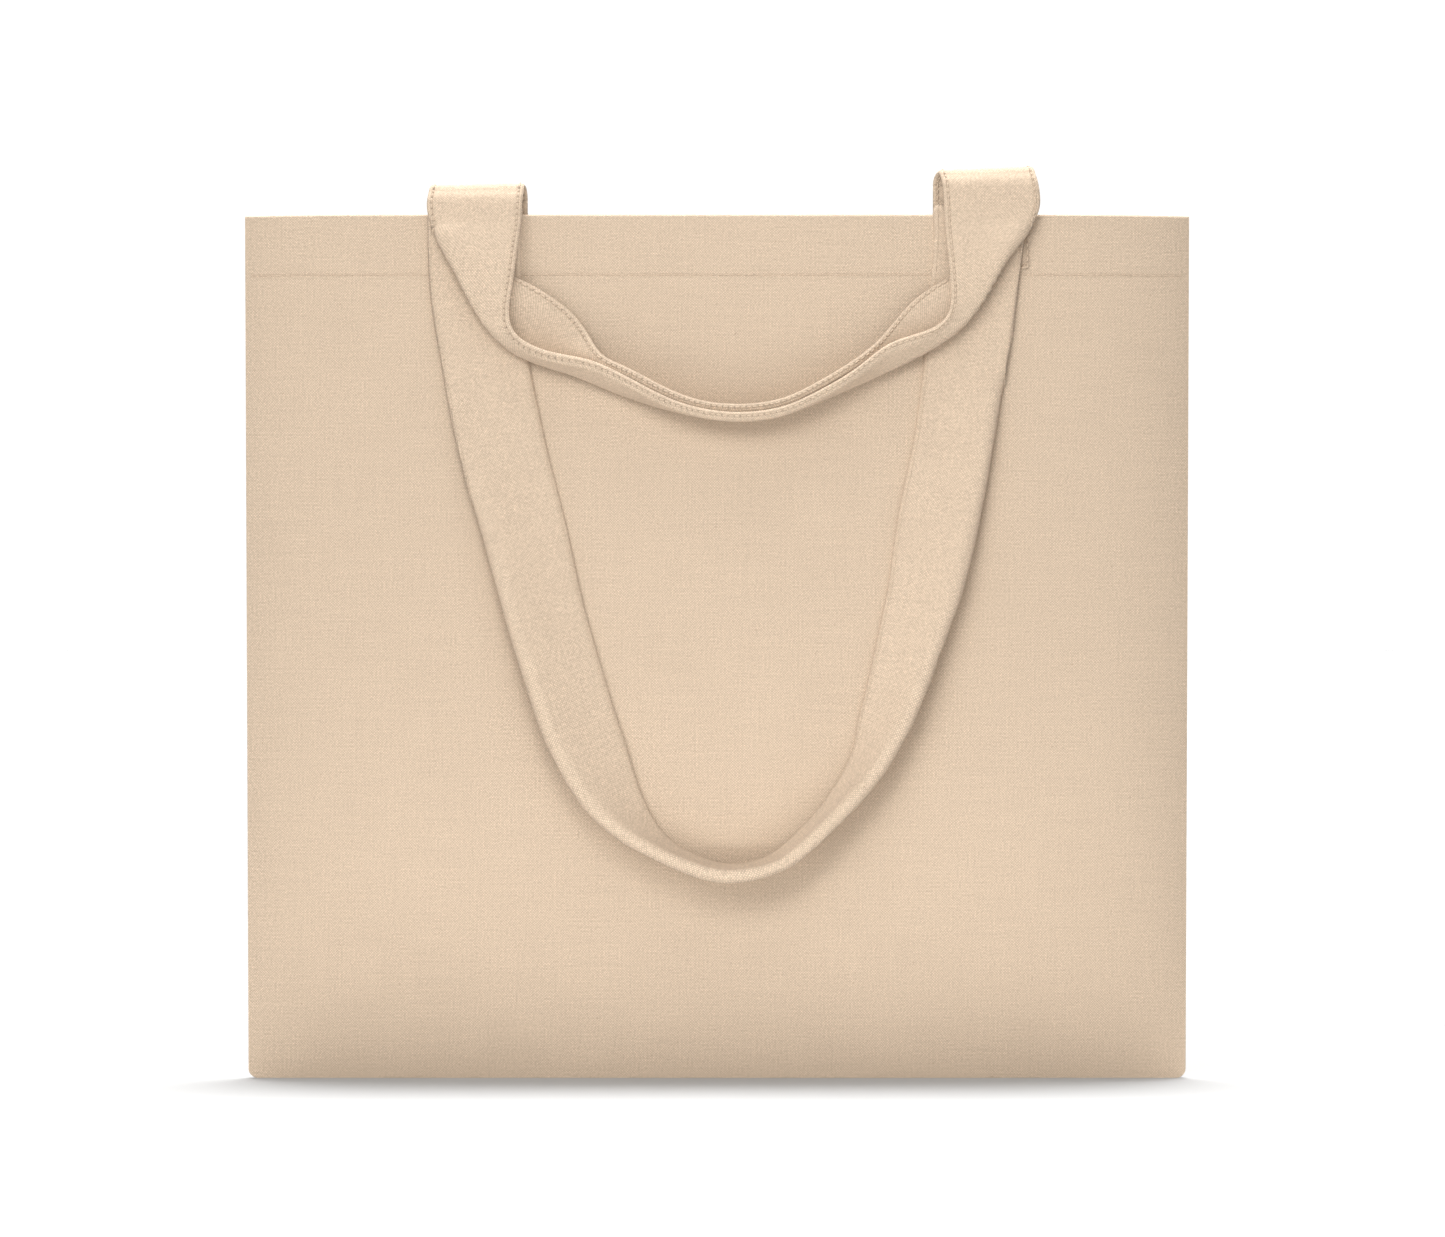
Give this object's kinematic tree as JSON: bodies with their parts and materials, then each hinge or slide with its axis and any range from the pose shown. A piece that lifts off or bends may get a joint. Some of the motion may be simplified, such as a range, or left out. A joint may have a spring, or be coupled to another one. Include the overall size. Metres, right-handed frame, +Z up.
{
  "type": "canvas tote bag",
  "caption": "Plain natural canvas tote bag, empty and upright, with both strap handles folded over the front: one short loop on top of one long loop.",
  "frame": {"origin": "middle of the bag's width and depth, at the bottom edge", "axes": "+Z up along the bag's height, +X to the right seen from the front, +Y towards the flat back panel; the handles hang on the -Y side"},
  "size_m": [0.4, 0.0378, 0.3812],
  "materials": {
    "canvas": "natural plain-weave cotton canvas",
    "strap": "folded natural canvas strap with topstitched edges",
    "thread": "natural cotton sewing thread"
  },
  "bodies": {
    "back_body": {"back_panel": "canvas", "left_side_seam": "canvas", "right_side_seam": "canvas", "bottom_seam": "canvas", "left_seam_overlock": "thread", "right_seam_overlock": "thread", "bottom_seam_overlock": "thread", "back_hem_stitching": "thread", "back_handle_left_end": "strap", "back_handle_right_end": "strap", "back_handle_left_tack": "thread", "back_handle_right_tack": "thread"},
    "front_body": {"front_panel": "canvas", "front_hem_stitching": "thread", "front_handle_left_end": "strap", "front_handle_right_end": "strap", "front_handle_left_tack": "thread", "front_handle_right_tack": "thread", "back_handle_left_riser": "strap", "back_handle_right_riser": "strap"},
    "front_loop": {"front_handle": "strap", "front_handle_edge_stitching": "thread"},
    "back_loop": {"back_handle": "strap", "back_handle_edge_stitching": "thread"}
  },
  "joints": [
    {"name": "mouth_open", "type": "hinge", "parent": "back_body", "child": "front_body", "pos_m": [0, 0.01773, 0], "axis": [1, 0, 0], "range_deg": [0, 10]},
    {"name": "front_handle_lift", "type": "hinge", "parent": "front_body", "child": "front_loop", "pos_m": [0, 0.00368, 0.3699], "axis": [-1, 0, 0], "range_deg": [0, 175]},
    {"name": "back_handle_lift", "type": "hinge", "parent": "front_body", "child": "back_loop", "pos_m": [0, 0.01087, 0.3744], "axis": [-1, 0, 0], "range_deg": [0, 175]}
  ],
  "couplings": [
    {"joint": "front_handle_lift", "follows": "back_handle_lift", "ratio": 1}
  ]
}
